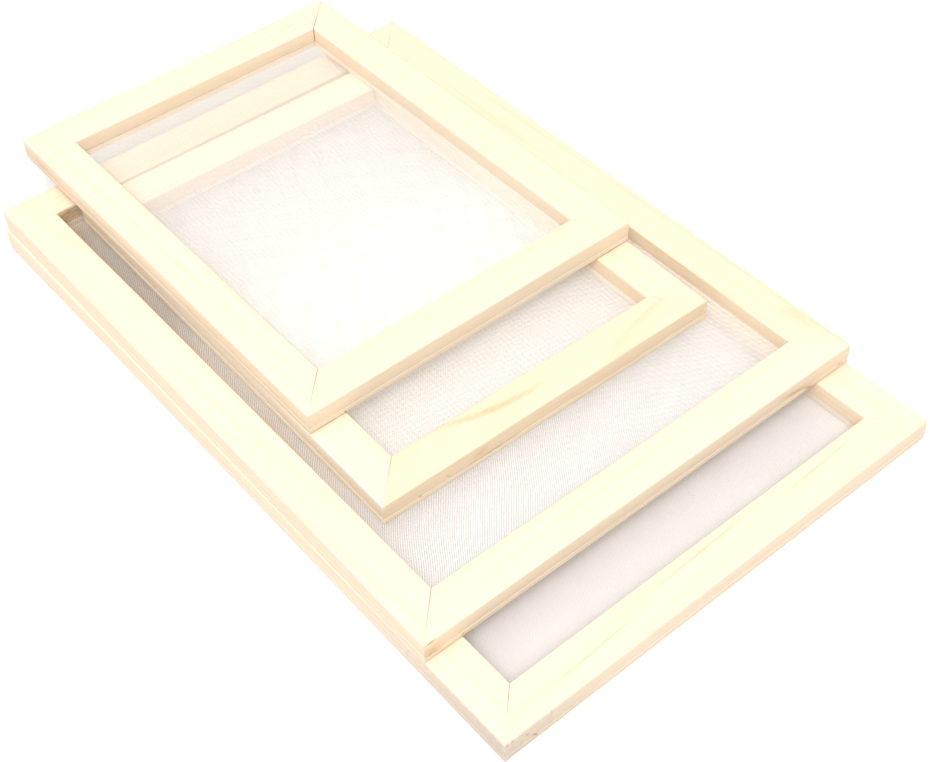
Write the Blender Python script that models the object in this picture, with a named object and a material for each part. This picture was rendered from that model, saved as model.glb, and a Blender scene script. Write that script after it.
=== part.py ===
"""Stack of four wooden screen printing frames: two large ones, and two small ones lying on top of them.
The lowest is as wide as the other large one, and longer.

Each frame is a sandwich. Four mitred rails lie on top, a stretched mesh lies under them, and four thin
mitred backing strips clamp the mesh from below. A steel V-nail, driven into the rails' undersides, holds
each mitre shut.

Metres, +Z up. +X runs along the short rails and +Y away from the lowest frame's exposed front rail. The
origin is at the middle of the stack's footprint, on the surface that it lies on.
"""
import math
from collections import namedtuple

import bmesh
import bpy
from mathutils import Matrix

# Outer sizes: the large frames share one width, and so do the small ones.
LARGE_WIDTH = 0.250
LARGE_LOWER_LENGTH = 0.388
LARGE_UPPER_LENGTH = 0.340
SMALL_WIDTH = 0.190
SMALL_LOWER_LENGTH = 0.252
SMALL_UPPER_LENGTH = 0.250

# Section through one side of a frame.
RAIL_WIDTH = 0.020
RAIL_THICKNESS = 0.008
STRIP_THICKNESS = 0.003
MESH_THICKNESS = 0.0004
MESH_INSET = 0.001
GAP = 0.0003

# Eased edges.
TOP_EDGE_RADIUS = 0.0009
BOTTOM_EDGE_RADIUS = 0.0007
EDGE_SEGMENTS = 3

# V-nail: two equal legs at a right angle, parallel to the rails' edges.
VNAIL_APEX_OFFSET = 0.0130
VNAIL_LEG = 0.0075
VNAIL_STEEL = 0.0006
VNAIL_HEIGHT = 0.0050
SLOT_OVERSHOOT = 0.001

# Heights inside one frame, from its own underside.
MESH_BASE = STRIP_THICKNESS + GAP
RAIL_BASE = MESH_BASE + MESH_THICKNESS + GAP
FRAME_THICKNESS = RAIL_BASE + RAIL_THICKNESS

# How the stack lies: each frame's centre relative to the lowest frame's centre, and its turn about +Z.
LARGE_UPPER_SHIFT = (0.0006, 0.0236)
LARGE_UPPER_YAW = math.radians(-0.2)
SMALL_LOWER_SHIFT = (0.0, 0.0408)
SMALL_LOWER_YAW = math.radians(-0.75)
SMALL_UPPER_SHIFT = (-0.0006, 0.0927)
SMALL_UPPER_YAW = math.radians(-0.2)

# The upper large frame lies on the lower one, the lower small frame lies on the upper large frame's mesh,
# inside its rails, and the upper small frame lies on the lower small one.
LARGE_UPPER_Z = FRAME_THICKNESS + GAP
SMALL_LOWER_Z = LARGE_UPPER_Z + MESH_BASE + MESH_THICKNESS + GAP
SMALL_UPPER_Z = SMALL_LOWER_Z + FRAME_THICKNESS + GAP

Frame = namedtuple("Frame", "name width length shift z yaw")
FRAMES = (
    Frame("large_lower", LARGE_WIDTH, LARGE_LOWER_LENGTH, (0.0, 0.0), 0.0, 0.0),
    Frame("large_upper", LARGE_WIDTH, LARGE_UPPER_LENGTH, LARGE_UPPER_SHIFT, LARGE_UPPER_Z, LARGE_UPPER_YAW),
    Frame("small_lower", SMALL_WIDTH, SMALL_LOWER_LENGTH, SMALL_LOWER_SHIFT, SMALL_LOWER_Z, SMALL_LOWER_YAW),
    Frame("small_upper", SMALL_WIDTH, SMALL_UPPER_LENGTH, SMALL_UPPER_SHIFT, SMALL_UPPER_Z, SMALL_UPPER_YAW),
)


def footprint_centre():
    """Centre of the upright box around all four turned frames, seen from above."""
    lows = []
    highs = []
    for frame in FRAMES:
        cosine = math.cos(frame.yaw)
        sine = abs(math.sin(frame.yaw))
        reach = (
            (frame.width * cosine + frame.length * sine) / 2,
            (frame.length * cosine + frame.width * sine) / 2,
        )
        lows.append([frame.shift[axis] - reach[axis] for axis in range(2)])
        highs.append([frame.shift[axis] + reach[axis] for axis in range(2)])
    low = [min(values) for values in zip(*lows)]
    high = [max(values) for values in zip(*highs)]
    return [(low[axis] + high[axis]) / 2 for axis in range(2)]


def clear_scene():
    for old in list(bpy.data.objects):
        bpy.data.objects.remove(old, do_unlink=True)


def make_material(name, colour, roughness, metallic):
    material = bpy.data.materials.new(name)
    material.use_nodes = True
    shader = material.node_tree.nodes["Principled BSDF"]
    shader.inputs["Base Color"].default_value = (*colour, 1.0)
    shader.inputs["Roughness"].default_value = roughness
    shader.inputs["Metallic"].default_value = metallic
    return material


def make_materials():
    return {
        "rail": make_material("rail_wood", (0.87, 0.74, 0.52), 0.55, 0.0),
        "strip": make_material("strip_wood", (0.83, 0.69, 0.47), 0.60, 0.0),
        "mesh": make_material("white_mesh", (0.90, 0.88, 0.86), 0.50, 0.0),
        "steel": make_material("nail_steel", (0.60, 0.60, 0.62), 0.35, 1.0),
    }


def object_from_bmesh(name, shape, material):
    """Turn a bmesh into a named object with outward faces."""
    bmesh.ops.recalc_face_normals(shape, faces=shape.faces[:])
    data = bpy.data.meshes.new(name)
    shape.to_mesh(data)
    shape.free()
    data.shade_smooth()
    data.set_sharp_from_angle(angle=math.radians(35))
    piece = bpy.data.objects.new(name, data)
    bpy.context.scene.collection.objects.link(piece)
    if material is not None:
        data.materials.append(material)
    return piece


def corner_arc(centre_offset, centre_height, radius, start_degrees):
    """Points of a quarter circle in a bar's section, turning anticlockwise."""
    points = []
    for step in range(EDGE_SEGMENTS + 1):
        angle = math.radians(start_degrees + 90.0 * step / EDGE_SEGMENTS)
        points.append((centre_offset + radius * math.cos(angle), centre_height + radius * math.sin(angle)))
    return points


def rail_section():
    """Section of a rail: (distance in from the outer face, height), with both top edges eased."""
    radius = TOP_EDGE_RADIUS
    points = [(0.0, 0.0), (RAIL_WIDTH, 0.0)]
    points += corner_arc(RAIL_WIDTH - radius, RAIL_THICKNESS - radius, radius, 0.0)
    points += corner_arc(radius, RAIL_THICKNESS - radius, radius, 90.0)
    return points


def strip_section():
    """Section of a backing strip, with both bottom edges eased."""
    radius = BOTTOM_EDGE_RADIUS
    points = corner_arc(radius, radius, radius, 180.0)
    points += corner_arc(RAIL_WIDTH - radius, radius, radius, 270.0)
    points += [(RAIL_WIDTH, STRIP_THICKNESS), (0.0, STRIP_THICKNESS)]
    return points


def mitred_bar(name, outer_length, section, material):
    """A bar along X, outer face at y = 0, with 45 degree ends that each leave half the gap at their mitre."""
    set_back = GAP / math.sqrt(2.0)
    shape = bmesh.new()
    left = []
    right = []
    for inward, height in section:
        half = outer_length / 2 - inward - set_back
        left.append(shape.verts.new((-half, inward, height)))
        right.append(shape.verts.new((half, inward, height)))
    count = len(section)
    for index in range(count):
        following = (index + 1) % count
        shape.faces.new((left[index], left[following], right[following], right[index]))
    shape.faces.new(left)
    shape.faces.new(right)
    return object_from_bmesh(name, shape, material)


def mesh_panel(name, width, length, material):
    """The stretched mesh as one thin flat panel, its edges held between the rails and the strips."""
    size = (width - 2 * MESH_INSET, length - 2 * MESH_INSET, MESH_THICKNESS)
    shape = bmesh.new()
    bmesh.ops.create_cube(shape, size=1.0, matrix=Matrix.Diagonal((*size, 1.0)))
    bmesh.ops.translate(shape, vec=(0.0, 0.0, MESH_THICKNESS / 2), verts=shape.verts[:])
    return object_from_bmesh(name, shape, material)


def v_nail(name, growth, bottom, top, material):
    """An L-shaped steel strip: apex at the origin, legs along -X and -Y, grown by a clearance."""
    inner = -VNAIL_STEEL / 2 - growth
    outer = VNAIL_STEEL / 2 + growth
    end = -VNAIL_LEG - growth
    outline = ((outer, outer), (end, outer), (end, inner), (inner, inner), (inner, end), (outer, end))
    shape = bmesh.new()
    face = shape.faces.new([shape.verts.new((x, y, bottom)) for x, y in outline])
    sides = bmesh.ops.extrude_face_region(shape, geom=[face])
    risen = [item for item in sides["geom"] if isinstance(item, bmesh.types.BMVert)]
    bmesh.ops.translate(shape, vec=(0.0, 0.0, top - bottom), verts=risen)
    return object_from_bmesh(name, shape, material)


def cut_slot(rail, cutter):
    slot = rail.modifiers.new("v_nail_slot", "BOOLEAN")
    slot.operation = "DIFFERENCE"
    slot.object = cutter


def frame_sides(frame):
    """Each side's name, its outer length, and its turn and shift about the frame's centre."""
    half_width = frame.width / 2
    half_length = frame.length / 2
    return (
        ("front", frame.width, 0.0, (0.0, -half_length)),
        ("right", frame.length, 90.0, (half_width, 0.0)),
        ("back", frame.width, 180.0, (0.0, half_length)),
        ("left", frame.length, 270.0, (-half_width, 0.0)),
    )


def frame_corners(frame):
    """Each corner's two side names, its nail's turn, and its nail's apex about the frame's centre."""
    reach_x = frame.width / 2 - VNAIL_APEX_OFFSET
    reach_y = frame.length / 2 - VNAIL_APEX_OFFSET
    return (
        (("front", "left"), 0.0, (-reach_x, -reach_y)),
        (("front", "right"), 90.0, (reach_x, -reach_y)),
        (("back", "right"), 180.0, (reach_x, reach_y)),
        (("back", "left"), 270.0, (-reach_x, reach_y)),
    )


def place(piece, holder, spot, height, turn_degrees):
    piece.parent = holder
    piece.location = (spot[0], spot[1], height)
    piece.rotation_euler = (0.0, 0.0, math.radians(turn_degrees))


def build_frame(frame, origin, materials):
    """One frame, on an empty at its centre that the frame lifts straight up with."""
    holder = bpy.data.objects.new(frame.name + "_frame", None)
    bpy.context.scene.collection.objects.link(holder)
    holder.location = (frame.shift[0] - origin[0], frame.shift[1] - origin[1], frame.z)
    holder.rotation_euler = (0.0, 0.0, frame.yaw)

    rails = {}
    for side, outer_length, turn, spot in frame_sides(frame):
        stem = frame.name + "_" + side
        strip = mitred_bar(stem + "_backing_strip", outer_length, strip_section(), materials["strip"])
        place(strip, holder, spot, 0.0, turn)
        rails[side] = mitred_bar(stem + "_rail", outer_length, rail_section(), materials["rail"])
        place(rails[side], holder, spot, RAIL_BASE, turn)

    panel = mesh_panel(frame.name + "_mesh", frame.width, frame.length, materials["mesh"])
    place(panel, holder, (0.0, 0.0), MESH_BASE, 0.0)

    for sides, turn, spot in frame_corners(frame):
        stem = frame.name + "_" + "_".join(sides)
        nail = v_nail(stem + "_v_nail", 0.0, 0.0, VNAIL_HEIGHT, materials["steel"])
        place(nail, holder, spot, RAIL_BASE, turn)
        cutter = v_nail(stem + "_slot_cutter", GAP, -SLOT_OVERSHOOT, VNAIL_HEIGHT + GAP, None)
        cutter.hide_render = True
        cutter.display_type = "WIRE"
        place(cutter, holder, spot, RAIL_BASE, turn)
        for side in sides:
            cut_slot(rails[side], cutter)


def main():
    clear_scene()
    materials = make_materials()
    origin = footprint_centre()
    for frame in FRAMES:
        build_frame(frame, origin, materials)


main()
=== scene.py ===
"""Looks for the stack of four wooden screen printing frames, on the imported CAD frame."""
import math
from collections import namedtuple

import bmesh
import bpy
from mathutils import Matrix, Vector, noise


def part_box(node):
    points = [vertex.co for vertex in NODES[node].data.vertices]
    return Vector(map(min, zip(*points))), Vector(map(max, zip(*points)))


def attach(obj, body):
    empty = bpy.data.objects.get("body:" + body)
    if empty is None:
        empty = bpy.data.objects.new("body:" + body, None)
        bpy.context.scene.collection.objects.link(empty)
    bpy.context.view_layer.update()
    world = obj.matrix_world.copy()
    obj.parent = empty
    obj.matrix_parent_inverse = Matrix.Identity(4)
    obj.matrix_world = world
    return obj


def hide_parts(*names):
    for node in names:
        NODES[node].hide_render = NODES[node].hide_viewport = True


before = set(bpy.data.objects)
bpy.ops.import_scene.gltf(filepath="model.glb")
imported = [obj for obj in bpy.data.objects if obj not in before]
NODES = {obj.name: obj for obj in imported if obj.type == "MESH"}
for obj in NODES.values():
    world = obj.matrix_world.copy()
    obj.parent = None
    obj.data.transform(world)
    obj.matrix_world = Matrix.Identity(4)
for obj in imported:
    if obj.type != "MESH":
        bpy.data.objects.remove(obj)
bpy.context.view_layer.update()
MM = 0.001

# ------------------------------------------------------------------ the frames, as the CAD places them
FRAMES = ("large_lower", "large_upper", "small_lower", "small_upper")
RAIL_WIDTH = 20 * MM
STRIP_HEIGHT = 3.38 * MM
MESH_HEIGHT = 3.5 * MM
RAIL_BOTTOM = 3.62 * MM
RAIL_TOP = 12.0 * MM
MESH_INSET = 1.0 * MM
SKEW_WEIGHT = 3


def cad_frame(name):
    """The frame's width, length and matrix from its own axes, whose origin is at its underside's centre."""
    corners = [vertex.co.copy() for vertex in NODES[name + "_mesh"].data.vertices]
    spans = [b - a for a in corners for b in corners]
    # the panel's front or back edge: the span that reaches furthest to the right and least up or down
    across = max(spans, key=lambda span: span.x - SKEW_WEIGHT * abs(span.y))
    across.z = 0
    along = Vector((-across.y, across.x, 0)).normalized()
    low = min(corner.dot(along) for corner in corners)
    high = max(corner.dot(along) for corner in corners)
    box_low, box_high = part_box(name + "_mesh")
    centre = (box_low + box_high) / 2
    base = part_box(name + "_front_backing_strip")[0].z
    yaw = math.atan2(across.y, across.x)
    matrix = Matrix.Translation((centre.x, centre.y, base)) @ Matrix.Rotation(yaw, 4, "Z")
    return across.length + 2 * MESH_INSET, high - low + 2 * MESH_INSET, matrix


LAYOUT = {name: cad_frame(name) for name in FRAMES}


# ------------------------------------------------------------------ node helpers
class Tree:
    """Short calls for building one material's nodes."""

    def __init__(self, name):
        self.material = bpy.data.materials.new(name)
        self.material.use_nodes = True
        self.nodes = self.material.node_tree.nodes
        self.links = self.material.node_tree.links
        self.shader = self.nodes["Principled BSDF"]
        self.output = self.nodes["Material Output"]

    def put(self, socket, value):
        if isinstance(value, bpy.types.NodeSocket):
            self.links.new(value, socket)
        else:
            socket.default_value = value

    def math(self, operation, *values):
        node = self.nodes.new("ShaderNodeMath")
        node.operation = operation
        for socket, value in zip(node.inputs, values):
            self.put(socket, value)
        return node.outputs[0]

    def attribute(self, name, output="Vector"):
        node = self.nodes.new("ShaderNodeAttribute")
        node.attribute_name = name
        return node.outputs[output]

    def split(self, vector):
        node = self.nodes.new("ShaderNodeSeparateXYZ")
        self.put(node.inputs[0], vector)
        return node.outputs[0], node.outputs[1], node.outputs[2]

    def join(self, x, y, z):
        node = self.nodes.new("ShaderNodeCombineXYZ")
        for socket, value in zip(node.inputs, (x, y, z)):
            self.put(socket, value)
        return node.outputs[0]

    def noise(self, vector, scale, detail=3.0, rough=0.55):
        node = self.nodes.new("ShaderNodeTexNoise")
        self.put(node.inputs["Vector"], vector)
        node.inputs["Scale"].default_value = scale
        node.inputs["Detail"].default_value = detail
        node.inputs["Roughness"].default_value = rough
        return node.outputs["Fac"]

    def ramp(self, value, stops):
        """stops is a list of (position, grey)."""
        node = self.nodes.new("ShaderNodeValToRGB")
        self.put(node.inputs[0], value)
        elements = node.color_ramp.elements
        while len(elements) < len(stops):
            elements.new(0.5)
        for element, (position, grey) in zip(elements, stops):
            element.position = position
            element.color = (grey, grey, grey, 1)
        return node.outputs[0]

    def range(self, value, low, high, to_low=0.0, to_high=1.0):
        node = self.nodes.new("ShaderNodeMapRange")
        self.put(node.inputs["Value"], value)
        node.inputs["From Min"].default_value = low
        node.inputs["From Max"].default_value = high
        node.inputs["To Min"].default_value = to_low
        node.inputs["To Max"].default_value = to_high
        return node.outputs[0]

    def fade(self, value, reach):
        """A soft step from 1 at 0 down to 0 at reach."""
        node = self.nodes.new("ShaderNodeMapRange")
        node.interpolation_type = "SMOOTHSTEP"
        self.put(node.inputs["Value"], value)
        node.inputs["From Min"].default_value = 0.0
        node.inputs["From Max"].default_value = reach
        node.inputs["To Min"].default_value = 1.0
        node.inputs["To Max"].default_value = 0.0
        return node.outputs[0]

    def mix(self, factor, a, b, blend="MIX"):
        node = self.nodes.new("ShaderNodeMix")
        node.data_type = "RGBA"
        node.blend_type = blend
        self.put(node.inputs["Factor"], factor)
        colours = [s for s in node.inputs if s.type == "RGBA"]
        for socket, value in zip(colours, (a, b)):
            self.put(socket, (*value, 1) if isinstance(value, tuple) else value)
        return [s for s in node.outputs if s.type == "RGBA"][0]

    def bump(self, height, distance, strength):
        node = self.nodes.new("ShaderNodeBump")
        self.put(node.inputs["Height"], height)
        node.inputs["Distance"].default_value = distance
        node.inputs["Strength"].default_value = strength
        return node.outputs[0]


# ------------------------------------------------------------------ materials
# The wood's own colours, what tints it, and the colours of its marks, some of which are painted shade and painted
# light.
PALE = (0.870, 0.740, 0.582)
TAN = (0.840, 0.688, 0.505)
LATE = (0.720, 0.520, 0.315)
WARM = (0.995, 0.965, 0.900)
DIRT = (0.20, 0.12, 0.06)
OCHRE = (0.66, 0.42, 0.20)
BROWN = (0.36, 0.22, 0.10)
# painted light: a pale colour laid over one whole outer side, standing in for light falling on it
PAINTED_SIDE_LIGHT = (0.98, 0.90, 0.78)
GREYED = (0.54, 0.46, 0.40)
GRAIN_STRENGTH = 0.50
YEAR_RING = 3.4 * MM
RING_WANDER = 4.2 * MM
WOOD_RELIEF = 0.05 * MM
# Where a mark on a bar's top, outer side or inner side starts and is full, measured up or inward.
TOP_FACE = (11.0 * MM, 11.7 * MM)
OUTER_FACE = (0.9 * MM, 0.3 * MM)
INNER_FACE = (19.1 * MM, 19.7 * MM)


def streak(t, along, across, mark):
    """Share of a soft curved streak, from 0 to 1, on one face of a bar."""
    away = t.math("SUBTRACT", along, mark.centre[0] * MM)
    line = t.math("MULTIPLY_ADD", t.math("MULTIPLY", away, away), mark.bend, mark.centre[1] * MM)
    line = t.math("MULTIPLY_ADD", away, mark.slope, line)
    off = t.math("ABSOLUTE", t.math("SUBTRACT", across, line))
    body = t.fade(off, mark.width * MM)
    return t.math("MULTIPLY", body, t.fade(t.math("ABSOLUTE", away), mark.reach * MM))


def wood(name, marks=()):
    """Bare pale wood, with its marks, some of which are painted shade and painted light.

    The grain attribute holds each point's place in the log: x along the pith, y and z from it. The bar attribute is
    the place in the bar, tone how warm the bar is, and soil how dirty the point is.
    """
    t = Tree(name)
    place = t.attribute("grain")
    x, y, z = t.split(place)
    slow = t.noise(t.join(t.math("MULTIPLY", x, 0.12), y, z), 55.0, 2.0)
    wander = t.math("MULTIPLY", t.math("SUBTRACT", slow, 0.5), RING_WANDER)
    radius = t.math("SQRT", t.math("ADD", t.math("MULTIPLY", y, y), t.math("MULTIPLY", z, z)))
    radius = t.math("ADD", radius, wander)
    years = t.noise(t.join(radius, 0.3, 0.7), 60.0, 1.0)
    rings = t.math("ADD", t.math("MULTIPLY", radius, 1 / YEAR_RING), t.math("MULTIPLY", years, 3.0))
    year = t.math("FRACT", rings)
    late_wood = t.ramp(year, [(0.0, 0.35), (0.14, 0.0), (0.50, 0.10), (0.80, 0.60), (0.93, 1.0), (1.0, 0.35)])
    each = t.noise(t.join(t.math("FLOOR", rings), 5.0, 1.0), 3.7, 0.0)
    late_wood = t.math("MULTIPLY", late_wood, t.range(each, 0.3, 0.7, 0.15, 1.0))
    patches = t.noise(t.join(t.math("MULTIPLY", x, 0.35), y, z), 38.0, 3.0)
    late_wood = t.math("MULTIPLY", late_wood, t.range(patches, 0.3, 0.7, 0.15, 1.0))
    fibres = t.noise(t.join(t.math("MULTIPLY", x, 0.03), y, z), 2600.0, 4.0, 0.7)
    streaks = t.noise(t.join(t.math("MULTIPLY", x, 0.02), y, z), 420.0, 3.0, 0.6)
    pores = t.range(t.noise(t.join(t.math("MULTIPLY", x, 0.06), y, z), 1500.0, 1.0, 0.4), 0.66, 0.76)
    colour = t.mix(t.range(streaks, 0.30, 0.72, 0.0, 0.55), PALE, TAN)
    colour = t.mix(t.math("MULTIPLY", late_wood, GRAIN_STRENGTH), colour, LATE)
    colour = t.mix(t.range(fibres, 0.35, 0.75, 0.0, 0.10), colour, LATE)
    colour = t.mix(t.math("MULTIPLY", pores, 0.10), colour, tuple(0.75 * c for c in LATE))
    blotch = t.noise(t.join(t.math("MULTIPLY", x, 0.5), y, z), 21.0, 2.0)
    colour = t.mix(t.range(blotch, 0.35, 0.70, 0.0, 0.25), colour, TAN)
    colour = t.mix(t.attribute("tone", "Fac"), colour, WARM, "MULTIPLY")
    along, inward, height = t.split(t.attribute("bar"))
    broken = t.noise(t.join(t.math("MULTIPLY", along, 0.30), inward, height), 900.0, 3.0)
    for mark in marks:
        if mark.face == "top":
            share = t.math("MULTIPLY", streak(t, along, inward, mark), t.range(height, *TOP_FACE))
        elif mark.face == "side":
            share = t.math("MULTIPLY", streak(t, along, height, mark), t.range(inward, *OUTER_FACE))
        else:
            share = t.math("MULTIPLY", streak(t, along, height, mark), t.range(inward, *INNER_FACE))
        share = t.math("MULTIPLY", share, t.range(broken, 0.30, 0.62, 0.45 * mark.strength, mark.strength))
        colour = t.mix(share, colour, mark.colour)
    soil = t.attribute("soil", "Fac")
    soil_edge = t.math("MULTIPLY", soil, t.range(t.noise(place, 900.0, 3.0), 0.25, 0.6, 0.55, 1.0))
    colour = t.mix(t.math("MINIMUM", soil_edge, 1.0), colour, DIRT)
    t.put(t.shader.inputs["Base Color"], colour)
    rough = t.math("ADD", t.range(fibres, 0.3, 0.7, 0.50, 0.62), t.math("MULTIPLY", late_wood, -0.08))
    t.put(t.shader.inputs["Roughness"], rough)
    t.shader.inputs["IOR"].default_value = 1.38
    relief = t.math("ADD", t.math("MULTIPLY", fibres, 0.5), t.math("MULTIPLY", late_wood, 0.5))
    relief = t.math("SUBTRACT", relief, t.math("MULTIPLY", pores, 0.6))
    t.put(t.shader.inputs["Normal"], t.bump(relief, WOOD_RELIEF, 0.45))
    return t.material


THREAD_PITCH = 0.46 * MM
THREAD_SHARE = 0.28
THREAD_EDGE = 0.03
THREAD_WOBBLE = 0.55 * MM
THREAD_RELIEF = 0.05 * MM
UNDER_LIFT = 0.55
LIGHT_THROUGH = 0.42
# painted shade: the warm tan laid on the yarn in the narrow gap beside the left rail
PAINTED_GAP_SHADE = (0.74, 0.57, 0.38)
# In each frame's own axes: where the painted glow changes from front to back, and where the painted warm shade
# beside the left rail starts and ends.
PAINTED_GLOW_CHANGE = (30 * MM, 60 * MM)
GAP_SHADE_ACROSS = (-102 * MM, -88 * MM)
GAP_SHADE_ALONG = (-120 * MM, -30 * MM)
RIPPLE_SPAN = 105 * MM


def weave(name, dull, bright, painted_glow, turn, ripples, gap_shade):
    """Plain-weave white polyester mesh. The weave attribute is each point's place in its frame.

    painted_glow is painted light: the light that the brightened yarn gives by itself at the frame's front and back,
    turn is the threads' turn in the frame, and each ripple is a band of paler and darker threads. gap_shade is how
    strongly the yarn is painted a warm tan shade beside the left rail, away from the frame's front, standing in for
    the shade and wood-tinted bounce light in the narrow gap there.
    """
    t = Tree(name)
    place = t.attribute("weave")
    east, north, _ = t.split(place)

    def turned(degrees):
        angle = math.radians(degrees)
        part = t.math("MULTIPLY", north, math.sin(angle))
        return t.math("MULTIPLY_ADD", east, math.cos(angle), part)

    wobble = t.math("MULTIPLY", t.math("SUBTRACT", t.noise(place, 26.0, 2.0), 0.5), THREAD_WOBBLE)
    x = t.math("MULTIPLY", t.math("ADD", turned(turn), wobble), 1 / THREAD_PITCH)
    y = t.math("MULTIPLY", t.math("SUBTRACT", turned(turn + 90), wobble), 1 / THREAD_PITCH)
    across_x = t.math("ABSOLUTE", t.math("SUBTRACT", t.math("FRACT", x), 0.5))
    across_y = t.math("ABSOLUTE", t.math("SUBTRACT", t.math("FRACT", y), 0.5))
    half = THREAD_SHARE / 2
    on_x = t.range(across_x, half - THREAD_EDGE, half + THREAD_EDGE, 1.0, 0.0)
    on_y = t.range(across_y, half - THREAD_EDGE, half + THREAD_EDGE, 1.0, 0.0)
    thread = t.math("MAXIMUM", on_x, on_y)
    parity = t.math("MODULO", t.math("ABSOLUTE", t.math("ADD", t.math("FLOOR", x), t.math("FLOOR", y))), 2.0)
    lift_x = t.math("MULTIPLY", on_x, t.math("ADD", UNDER_LIFT, t.math("MULTIPLY", parity, 1 - UNDER_LIFT)))
    lift_y = t.math("MULTIPLY", on_y, t.math("SUBTRACT", 1.0, t.math("MULTIPLY", parity, 1 - UNDER_LIFT)))
    height = t.math("MAXIMUM", lift_x, lift_y)
    shade = 1.0
    for ripple in ripples:
        drift = t.math("SUBTRACT", t.noise(place, ripple.slowness, 1.0), 0.5)
        away = t.math("MULTIPLY_ADD", drift, ripple.wander * MM, turned(ripple.turn))
        wave = t.math("SINE", t.math("MULTIPLY", away, math.tau / (ripple.period * MM)))
        depth = t.range(east, -RIPPLE_SPAN, RIPPLE_SPAN, ripple.left, ripple.right)
        shade = t.math("MULTIPLY", shade, t.math("MULTIPLY_ADD", wave, depth, 1.0))
    tint = t.noise(place, 60.0, 3.0)
    colour = t.mix(t.range(tint, 0.3, 0.7), dull, bright)
    # painted shade: the yarn turns warm tan beside the left rail, away from the frame's front, where the gap is
    # shaded
    shade_by_rail = t.math("MULTIPLY", t.range(east, *GAP_SHADE_ACROSS, gap_shade, 0.0), t.range(north, *GAP_SHADE_ALONG))
    colour = t.mix(shade_by_rail, colour, PAINTED_GAP_SHADE)
    colour = t.mix(1.0, colour, t.join(shade, shade, shade), "MULTIPLY")
    t.put(t.shader.inputs["Base Color"], colour)
    t.shader.inputs["Roughness"].default_value = 0.38
    t.put(t.shader.inputs["Emission Color"], colour)
    # painted light: the yarn glows by itself, with one strength at the frame's front and another at its back
    t.put(t.shader.inputs["Emission Strength"], t.range(north, *PAINTED_GLOW_CHANGE, *painted_glow))
    t.put(t.shader.inputs["Normal"], t.bump(height, THREAD_RELIEF, 0.4))
    behind = t.nodes.new("ShaderNodeBsdfTranslucent")
    t.put(behind.inputs["Color"], colour)
    body = t.nodes.new("ShaderNodeMixShader")
    body.inputs[0].default_value = LIGHT_THROUGH
    t.links.new(t.shader.outputs[0], body.inputs[1])
    t.links.new(behind.outputs[0], body.inputs[2])
    clear = t.nodes.new("ShaderNodeBsdfTransparent")
    whole = t.nodes.new("ShaderNodeMixShader")
    t.put(whole.inputs[0], thread)
    t.links.new(clear.outputs[0], whole.inputs[1])
    t.links.new(body.outputs[0], whole.inputs[2])
    t.links.new(whole.outputs[0], t.output.inputs["Surface"])
    return t.material


def steel(name):
    """Cut steel strip: drawn lines and a little dull oxide."""
    t = Tree(name)
    coords = t.nodes.new("ShaderNodeTexCoord")
    x, y, z = t.split(coords.outputs["Object"])
    drawn = t.noise(t.join(x, y, t.math("MULTIPLY", z, 0.08)), 5200.0, 2.0)
    oxide = t.noise(coords.outputs["Object"], 700.0, 3.0)
    colour = t.mix(t.range(oxide, 0.45, 0.7), (0.62, 0.62, 0.64), (0.36, 0.33, 0.30))
    t.put(t.shader.inputs["Base Color"], colour)
    t.shader.inputs["Metallic"].default_value = 1.0
    t.put(t.shader.inputs["Roughness"], t.range(drawn, 0.3, 0.7, 0.28, 0.45))
    t.put(t.shader.inputs["Normal"], t.bump(drawn, 0.02 * MM, 0.5))
    return t.material


NAIL_STEEL = steel("nail_steel")
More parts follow.
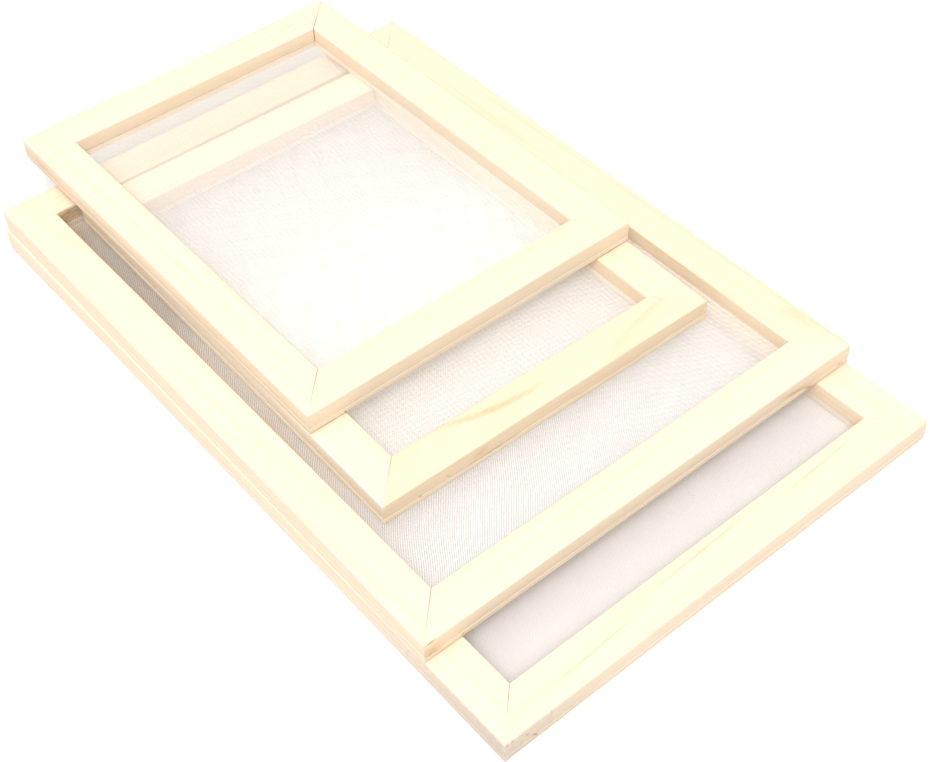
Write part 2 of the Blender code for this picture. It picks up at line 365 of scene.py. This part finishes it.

# A mark on one face of a bar, in millimetres along the bar and across the face. Some marks are painted shade and
# painted light.
Mark = namedtuple("Mark", "face centre reach slope bend width strength colour")
MARKS = {
    ("small_lower", "front"): (
        Mark("top", (-25, 12.6), 40, -0.18, 3.5, 3.2, 0.80, OCHRE),
        Mark("side", (-42, 7.2), 6, 0.05, 0, 2.8, 0.60, OCHRE),
        Mark("side", (-37, 3.3), 26, 0, 0, 0.6, 0.75, BROWN),
        Mark("side", (42, 3.3), 34, 0, 0, 0.5, 0.40, BROWN),
        Mark("side", (-75.5, 3.6), 1.3, -0.5, 0, 1.2, 0.70, BROWN),
        Mark("side", (-60, 5.0), 1.8, -1.0, 0, 0.8, 0.50, BROWN),
    ),
    ("small_lower", "left"): (
        # painted light: lightens the whole outer left side, standing in for light falling into the gap
        Mark("side", (20, 7.0), 190, 0, 0, 13.0, 0.85, PAINTED_SIDE_LIGHT),
    ),
    ("large_upper", "front"): (
        Mark("side", (90, 5.2), 20, -0.24, 0, 2.4, 0.75, OCHRE),
        Mark("side", (98.5, 1.9), 3.5, -0.35, 0, 1.1, 0.95, BROWN),
        Mark("side", (120, 2.6), 5, -0.30, 0, 1.4, 0.70, OCHRE),
        Mark("side", (-122, 5.5), 9, 0, 0, 6.0, 0.75, OCHRE),
        Mark("side", (-121.5, 11.3), 4.5, 0.05, 0, 0.9, 0.90, BROWN),
        Mark("side", (-120.5, 3.4), 5, 0, 0, 0.5, 0.90, BROWN),
        Mark("side", (-105.5, 1.4), 1.0, 1.0, 0, 1.5, 0.95, BROWN),
        # painted shade: the next two dark lines run along the bottom edge near the ends, where the frame rests on
        # the rails below
        Mark("side", (-115, 0.3), 14, 0, 0, 0.9, 0.85, BROWN),
        Mark("side", (115, 0.3), 15, 0, 0, 0.8, 0.75, BROWN),
    ),
    ("large_upper", "back"): (
        # painted shade: darkens the inner wall at the back-left corner, in the narrow shaded gap beside the small
        # frames
        Mark("inner", (101, 8.5), 18, 0, 0, 10.0, 0.85, BROWN),
    ),
    ("large_upper", "right"): (
        Mark("top", (-142, 5.0), 17, 0.08, 0, 4.5, 0.35, OCHRE),
    ),
    ("large_lower", "left"): (
        Mark("side", (194, 6.0), 110, 0, 0, 18.0, 0.85, GREYED),
    ),
    ("large_lower", "front"): (
        Mark("side", (-125, 6.0), 70, 0, 0, 18.0, 0.70, GREYED),
        Mark("side", (-123.6, 11.0), 0.9, 0, 0, 1.6, 0.85, BROWN),
        Mark("side", (-120.8, 10.9), 1.2, 0, 0, 1.2, 0.75, BROWN),
        Mark("side", (-113.6, 7.9), 0.9, -0.6, 0, 1.1, 0.70, BROWN),
        Mark("side", (-109.4, 3.5), 2.2, -0.8, 0, 1.8, 0.85, BROWN),
        Mark("side", (-101.0, 10.9), 0.8, -1.0, 0, 1.2, 0.65, BROWN),
        Mark("side", (-88.0, 3.0), 26, -0.01, 0, 0.8, 0.25, BROWN),
        Mark("top", (-70, 9.0), 45, 0.055, 0, 0.9, 0.55, OCHRE),
        Mark("top", (-5, 15.5), 55, 0.035, 0, 1.2, 0.55, OCHRE),
        Mark("top", (70, 14.6), 40, 0.045, 0, 1.0, 0.50, OCHRE),
    ),
    ("small_upper", "front"): (
        # painted shade: these three marks darken the bottom edge near the ends, where the frame rests on the rails
        # below
        Mark("side", (-75.8, 0.9), 0.9, 0, 0, 1.5, 0.95, BROWN),
        Mark("side", (-86, 0.3), 13, 0, 0, 0.9, 0.80, BROWN),
        Mark("side", (85, 0.3), 15, 0, 0, 0.9, 0.85, BROWN),
    ),
    ("small_upper", "left"): (
        Mark("side", (-104, 5.0), 30, -0.02, 0, 7.0, 0.55, OCHRE),
    ),
}
# How warm each bar's wood is, from 0 for the palest: front, right, back, left.
TONES = {
    "large_lower": (0.25, 0.0, 0.20, 0.0),
    "large_upper": (0.10, 0.60, 0.50, 0.15),
    "small_lower": (1.0, 0.40, 0.10, 0.0),
    "small_upper": (0.25, 0.10, 0.0, 0.0),
}
# The threads' dull and bright tints and their glow on each frame. The tints are partly the yarn's colour and partly
# painted shade and warm bounce light, darkest on large_lower, the lowest mesh. The glow is painted light.
TINTS_SHADE_AND_GLOW = {
    "large_lower": ((0.77, 0.715, 0.69), (0.81, 0.755, 0.73), (0.10, 0.0)),
    "large_upper": ((0.90, 0.885, 0.87), (0.94, 0.925, 0.91), (0.34, 0.0)),
    "small_lower": ((0.92, 0.89, 0.85), (0.95, 0.91, 0.865), (0.20, 0.20)),
    "small_upper": ((0.93, 0.905, 0.875), (0.96, 0.935, 0.905), (0.33, 0.07)),
}
# The threads' turn in each frame, in degrees.
THREAD_TURN = {"large_lower": 0.0, "large_upper": 2.0, "small_lower": -8.0, "small_upper": 3.0}
# Bands of denser threads: turn in degrees, period and wander in millimetres, and depth at the left and right.
Ripple = namedtuple("Ripple", "turn period wander slowness left right")
RIPPLES = {
    "large_lower": (
        Ripple(-30.0, 1.05, 2.0, 22.0, 0.05, 0.10),
    ),
    "large_upper": (
        Ripple(-38.0, 0.97, 7.0, 16.0, 0.30, 0.03),
        Ripple(8.0, 2.5, 6.0, 45.0, 0.0, 0.05),
        Ripple(62.0, 3.2, 6.0, 40.0, 0.0, 0.05),
    ),
    "small_lower": (
        Ripple(5.0, 2.8, 9.0, 55.0, 0.015, 0.03),
        Ripple(66.0, 3.4, 9.0, 45.0, 0.015, 0.03),
    ),
    "small_upper": (
        Ripple(-8.0, 2.6, 9.0, 55.0, 0.02, 0.03),
        Ripple(57.0, 3.6, 9.0, 45.0, 0.015, 0.02),
    ),
}
# how strongly each frame's mesh is painted with the warm gap shade beside its left rail
GAP_SHADES = {"large_upper": 0.65}
CLOTH = {
    name: weave("white_mesh_" + name, *TINTS_SHADE_AND_GLOW[name], THREAD_TURN[name], RIPPLES[name], GAP_SHADES.get(name, 0.0))
    for name in FRAMES
}


# ------------------------------------------------------------------ rails and strips
RAIL_EASES = (0.20 * MM, 0.85 * MM)
STRIP_EASES = (0.6 * MM, 0.20 * MM)
END_EASE = 0.10 * MM
STATION_STEP = 7 * MM
NEAR_ENDS = (0.0, 0.12, 0.5, 1.1, 1.9, 2.9, 4.2, 5.8, 7.8, 10.5, 14.0)
SWELL = 0.07 * MM
SWELL_SHARE = 0.009
SWELL_FADE = 12 * MM
ROUGHNESS = 0.012 * MM
PLANED_OFF = 0.02 * MM
SOIL_REACH = 0.35 * MM
MOST_SOIL = 0.4
SHARP_ANGLE = math.radians(50)
EASE_STEPS = 4
FLAT_STEPS = 4
WALL_STEPS = 2


def arc(centre, radius, start):
    """A quarter circle's points, from the start angle in degrees on."""
    return [
        (centre[0] + radius * math.cos(math.radians(start + 90 * k / EASE_STEPS)),
         centre[1] + radius * math.sin(math.radians(start + 90 * k / EASE_STEPS)))
        for k in range(EASE_STEPS + 1)
    ]


def section(low, high, bottom, top):
    """Closed outline of a bar's section, anticlockwise from the outer bottom edge, its faces cut in steps."""
    w = RAIL_WIDTH
    rounds = [
        arc((bottom, low + bottom), bottom, 180),
        arc((w - bottom, low + bottom), bottom, 270),
        arc((w - top, high - top), top, 0),
        arc((top, high - top), top, 90),
    ]
    points = []
    for index, corner in enumerate(rounds):
        points += corner
        start = Vector(corner[-1])
        end = Vector(rounds[(index + 1) % 4][0])
        steps = FLAT_STEPS if index % 2 == 0 else WALL_STEPS
        points += [tuple(start.lerp(end, k / steps)) for k in range(1, steps)]
    return points


def stations(length):
    """Shares of the bar's length, close together near its ends."""
    near = [value * MM / length for value in NEAR_ENDS]
    count = max(4, round(length / STATION_STEP))
    first = near[-1]
    middle = [first + (1 - 2 * first) * k / count for k in range(1, count)]
    return near + middle + [1 - value for value in reversed(near)]


def grain_frame(seed):
    """The matrix from a bar's own axes to its log's: pith direction, tilt and distance, all from the seed."""
    pick = lambda k: noise.cell((seed * 3.17 + k * 7.31, k * 1.93, 0.5))
    turn = pick(1) * math.tau
    far = (30 + 45 * pick(2)) * MM
    tilt = math.radians(0.4 + 2.0 * pick(3)) * (1 if pick(4) > 0.5 else -1)
    lean = math.radians(1.5 * (pick(5) - 0.5))
    shift = Vector((pick(6) * 2.0, far * math.cos(turn), far * math.sin(turn)))
    return Matrix.Translation(shift) @ Matrix.Rotation(tilt, 4, "Y") @ Matrix.Rotation(lean, 4, "Z")


def bar(name, outer, low, high, eases, gaps, seed, tone, material):
    """A mitred bar along X, outer face at y = 0, from height low to high, its bottom and top edges eased.

    gaps are the left and right mitres' half gaps, each at the outer and the inner end.
    """
    outline = section(low, high, *eases)
    middle = Vector((RAIL_WIDTH / 2, (low + high) / 2))
    shares = stations(outer)
    mesh = bmesh.new()
    grain = mesh.verts.layers.float_vector.new("grain")
    spot_in_bar = mesh.verts.layers.float_vector.new("bar")
    soil = mesh.verts.layers.float.new("soil")
    warmth = mesh.verts.layers.float.new("tone")
    log = grain_frame(seed)
    swell = min(SWELL, SWELL_SHARE * (high - low))
    rings = []
    for index, share in enumerate(shares):
        ends = index in (0, len(shares) - 1)
        ring = []
        for inward, height in outline:
            point = Vector((inward, height))
            if ends:
                point += (middle - point).normalized() * END_EASE
            depth = inward / RAIL_WIDTH
            left = outer / 2 - inward - (gaps[0][0] * (1 - depth) + gaps[0][1] * depth)
            right = outer / 2 - inward - (gaps[1][0] * (1 - depth) + gaps[1][1] * depth)
            x = -left + (left + right) * share
            spot = Vector((x, point.x, point.y))
            wave = Vector((x * 22, seed * 5.3 + inward * 40, height * 60))
            away = Vector((0, point.x - middle.x, (point.y - middle.y) * 2)).normalized()
            fade = min(1.0, min(share, 1 - share) * outer / SWELL_FADE)
            wobble = swell * noise.noise(wave) * fade + ROUGHNESS * noise.noise(wave * 9)
            spot += away * (wobble - PLANED_OFF)
            vert = mesh.verts.new(spot)
            vert[grain] = log @ spot
            vert[spot_in_bar] = spot
            vert[warmth] = tone
            opening = max(gaps[0]) if share < 0.5 else max(gaps[1])
            seam = min(share, 1 - share) * (left + right)
            vert[soil] = min(MOST_SOIL, 4 * opening / MM) * max(0.0, 1 - seam / SOIL_REACH)
            ring.append(vert)
        rings.append(ring)
    count = len(outline)
    for a, b in zip(rings, rings[1:]):
        for k in range(count):
            mesh.faces.new((a[k], b[k], b[(k + 1) % count], a[(k + 1) % count]))
    for ring in (rings[0], rings[-1]):
        mesh.faces.new(ring)
    bmesh.ops.recalc_face_normals(mesh, faces=mesh.faces[:])
    data = bpy.data.meshes.new(name)
    mesh.to_mesh(data)
    mesh.free()
    data.shade_smooth()
    data.set_sharp_from_angle(angle=SHARP_ANGLE)
    data.materials.append(material)
    piece = bpy.data.objects.new(name, data)
    bpy.context.scene.collection.objects.link(piece)
    return piece


def side_places(width, length):
    return {
        "front": (width, 0, (0, -length / 2)),
        "right": (length, 90, (width / 2, 0)),
        "back": (width, 180, (0, length / 2)),
        "left": (length, 270, (-width / 2, 0)),
    }


CLOSED = (0.01 * MM, 0.01 * MM)
STRIP_SEED = 100
STRIP_TONE = 0.6
RAIL_WOOD = wood("rail_wood")
STRIP_WOOD = wood("strip_wood")
# Mitres that stand a little open: (frame, corner) to half gaps at the outer and inner ends.
OPEN_MITRES = {
    ("small_upper", 2): (0.02 * MM, 0.09 * MM),
    ("small_upper", 0): (0.06 * MM, 0.05 * MM),
    ("small_lower", 0): (0.03 * MM, 0.01 * MM),
    ("large_upper", 0): (0.06 * MM, 0.01 * MM),
    ("large_lower", 0): (0.02 * MM, 0.01 * MM),
}

for number, name in enumerate(FRAMES):
    width, length, matrix = LAYOUT[name]
    body = name + "_frame"
    for turn_number, (side, (outer, turn, spot)) in enumerate(side_places(width, length).items()):
        # corner k is where side k starts, going round anticlockwise
        start = OPEN_MITRES.get((name, turn_number), CLOSED)
        end = OPEN_MITRES.get((name, (turn_number + 1) % 4), CLOSED)
        seed = number * 10 + turn_number
        tone = TONES[name][turn_number]
        marks = MARKS.get((name, side), ())
        low_marks = [mark for mark in marks if mark.face == "side"]
        rail_wood = RAIL_WOOD
        if marks:
            rail_wood = wood(f"{name}_{side}_rail_wood", marks)
        strip_wood = STRIP_WOOD
        if low_marks:
            strip_wood = wood(f"{name}_{side}_strip_wood", low_marks)
        shift = Matrix.Translation((spot[0], spot[1], 0))
        place = matrix @ shift @ Matrix.Rotation(math.radians(turn), 4, "Z")
        rail = bar(
            f"{name}_{side}_rail_wood", outer, RAIL_BOTTOM, RAIL_TOP, RAIL_EASES, (start, end),
            seed, tone, rail_wood,
        )
        strip = bar(
            f"{name}_{side}_strip_wood", outer, 0.0, STRIP_HEIGHT, STRIP_EASES, (CLOSED, CLOSED),
            seed + STRIP_SEED, STRIP_TONE * tone, strip_wood,
        )
        for piece, node, slot in ((rail, "rail", "rail_wood"), (strip, "backing_strip", "strip_wood")):
            piece.matrix_world = place
            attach(piece, body)
            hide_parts(f"{name}_{side}_{node}")
    for corner in ("front_left", "front_right", "back_right", "back_left"):
        nail = NODES[f"{name}_{corner}_v_nail"]
        nail.data.materials.clear()
        nail.data.materials.append(NAIL_STEEL)


# ------------------------------------------------------------------ stretched meshes
CLOTH_STEP = 5 * MM
SAG = 0.22 * MM
SAG_SPREAD = 0.10 * MM


def panel(name, number):
    """The mesh as one sheet, clamped along its edges and sagging a little in the middle."""
    width, length, matrix = LAYOUT[name]
    half_x = width / 2 - MESH_INSET
    half_y = length / 2 - MESH_INSET
    steps_x, steps_y = round(width / CLOTH_STEP), round(length / CLOTH_STEP)
    mesh = bmesh.new()
    thread = mesh.verts.layers.float_vector.new("weave")
    grid = []
    for j in range(steps_y + 1):
        row = []
        for i in range(steps_x + 1):
            x = half_x * (2 * i / steps_x - 1)
            y = half_y * (2 * j / steps_y - 1)
            free_x = max(0.0, 1 - (x / (width / 2 - RAIL_WIDTH)) ** 2)
            free_y = max(0.0, 1 - (y / (length / 2 - RAIL_WIDTH)) ** 2)
            free = min(1.0, 3 * free_x * free_y) ** 2
            sag = (SAG + SAG_SPREAD * noise.noise((x * 18, y * 18, number * 3.0))) * free
            vert = mesh.verts.new((x, y, MESH_HEIGHT - sag))
            vert[thread] = (x, y, 0)
            row.append(vert)
        grid.append(row)
    for low, high in zip(grid, grid[1:]):
        for i in range(steps_x):
            mesh.faces.new((low[i], low[i + 1], high[i + 1], high[i]))
    data = bpy.data.meshes.new(name + "_mesh_cloth")
    mesh.to_mesh(data)
    mesh.free()
    data.shade_smooth()
    data.materials.append(CLOTH[name])
    piece = bpy.data.objects.new(name + "_mesh_cloth", data)
    bpy.context.scene.collection.objects.link(piece)
    piece.matrix_world = matrix
    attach(piece, name + "_frame")
    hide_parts(name + "_mesh")


for number, name in enumerate(FRAMES):
    panel(name, number)


# ------------------------------------------------------------------ floor, light and camera
FLOOR_SIZE = 12.0
FLOOR_DROP = 0.2 * MM
FLOOR_SHADE = (0.74, 0.76)
WORLD_STRENGTH = 0.45


def make_floor():
    bpy.ops.mesh.primitive_plane_add(size=FLOOR_SIZE, location=(0, 0, -FLOOR_DROP))
    floor = bpy.context.object
    floor.name = "floor"
    t = Tree("floor_white")
    place = t.nodes.new("ShaderNodeTexCoord").outputs["Object"]
    shade = t.range(t.noise(place, 3.0, 2.0), 0.3, 0.7, *FLOOR_SHADE)
    t.put(t.shader.inputs["Base Color"], t.join(shade, shade, shade))
    t.shader.inputs["Roughness"].default_value = 0.9
    t.shader.inputs["Specular IOR Level"].default_value = 0.0
    floor.data.materials.append(t.material)


def area_light(name, place, aim, size, power):
    data = bpy.data.lights.new(name, "AREA")
    data.shape = "SQUARE"
    data.size = size
    data.energy = power
    light = bpy.data.objects.new(name, data)
    bpy.context.scene.collection.objects.link(light)
    light.location = place
    light.rotation_euler = (Vector(aim) - Vector(place)).to_track_quat("-Z", "Y").to_euler()


def make_world(strength):
    world = bpy.data.worlds.new("studio")
    world.use_nodes = True
    background = world.node_tree.nodes["Background"]
    background.inputs["Color"].default_value = (1.0, 1.0, 1.0, 1)
    background.inputs["Strength"].default_value = strength
    bpy.context.scene.world = world


CAMERA_PLACE = Vector((-0.3206, -0.4330, 0.5411))
CAMERA_YAW = math.radians(38.62)
CAMERA_PITCH = math.radians(47.32)
CAMERA_ROLL = math.radians(-1.77)
CAMERA_LENS = 60.5


def make_camera():
    data = bpy.data.cameras.new("camera")
    data.sensor_width = 36
    data.lens = CAMERA_LENS
    data.clip_start = 10 * MM
    camera = bpy.data.objects.new("camera", data)
    bpy.context.scene.collection.objects.link(camera)
    forward = Vector((
        math.sin(CAMERA_YAW) * math.cos(CAMERA_PITCH),
        math.cos(CAMERA_YAW) * math.cos(CAMERA_PITCH),
        -math.sin(CAMERA_PITCH),
    ))
    flat_right = Vector((math.cos(CAMERA_YAW), -math.sin(CAMERA_YAW), 0))
    flat_up = flat_right.cross(forward)
    right = math.cos(CAMERA_ROLL) * flat_right + math.sin(CAMERA_ROLL) * flat_up
    up = -math.sin(CAMERA_ROLL) * flat_right + math.cos(CAMERA_ROLL) * flat_up
    turn = Matrix((right, up, -forward)).transposed()
    camera.matrix_world = Matrix.Translation(CAMERA_PLACE) @ turn.to_4x4()
    bpy.context.scene.camera = camera


make_floor()
make_world(WORLD_STRENGTH)
area_light("overhead", place=(0.0, 0.6, 2.4), aim=(0, 0.2, 0), size=2.0, power=22)
area_light("front_left", place=(-1.65, -1.65, 3.6), aim=(0, 0, 0), size=2.4, power=182)
make_camera()
bpy.context.scene.view_settings.view_transform = "Standard"

bpy.context.view_layer.update()
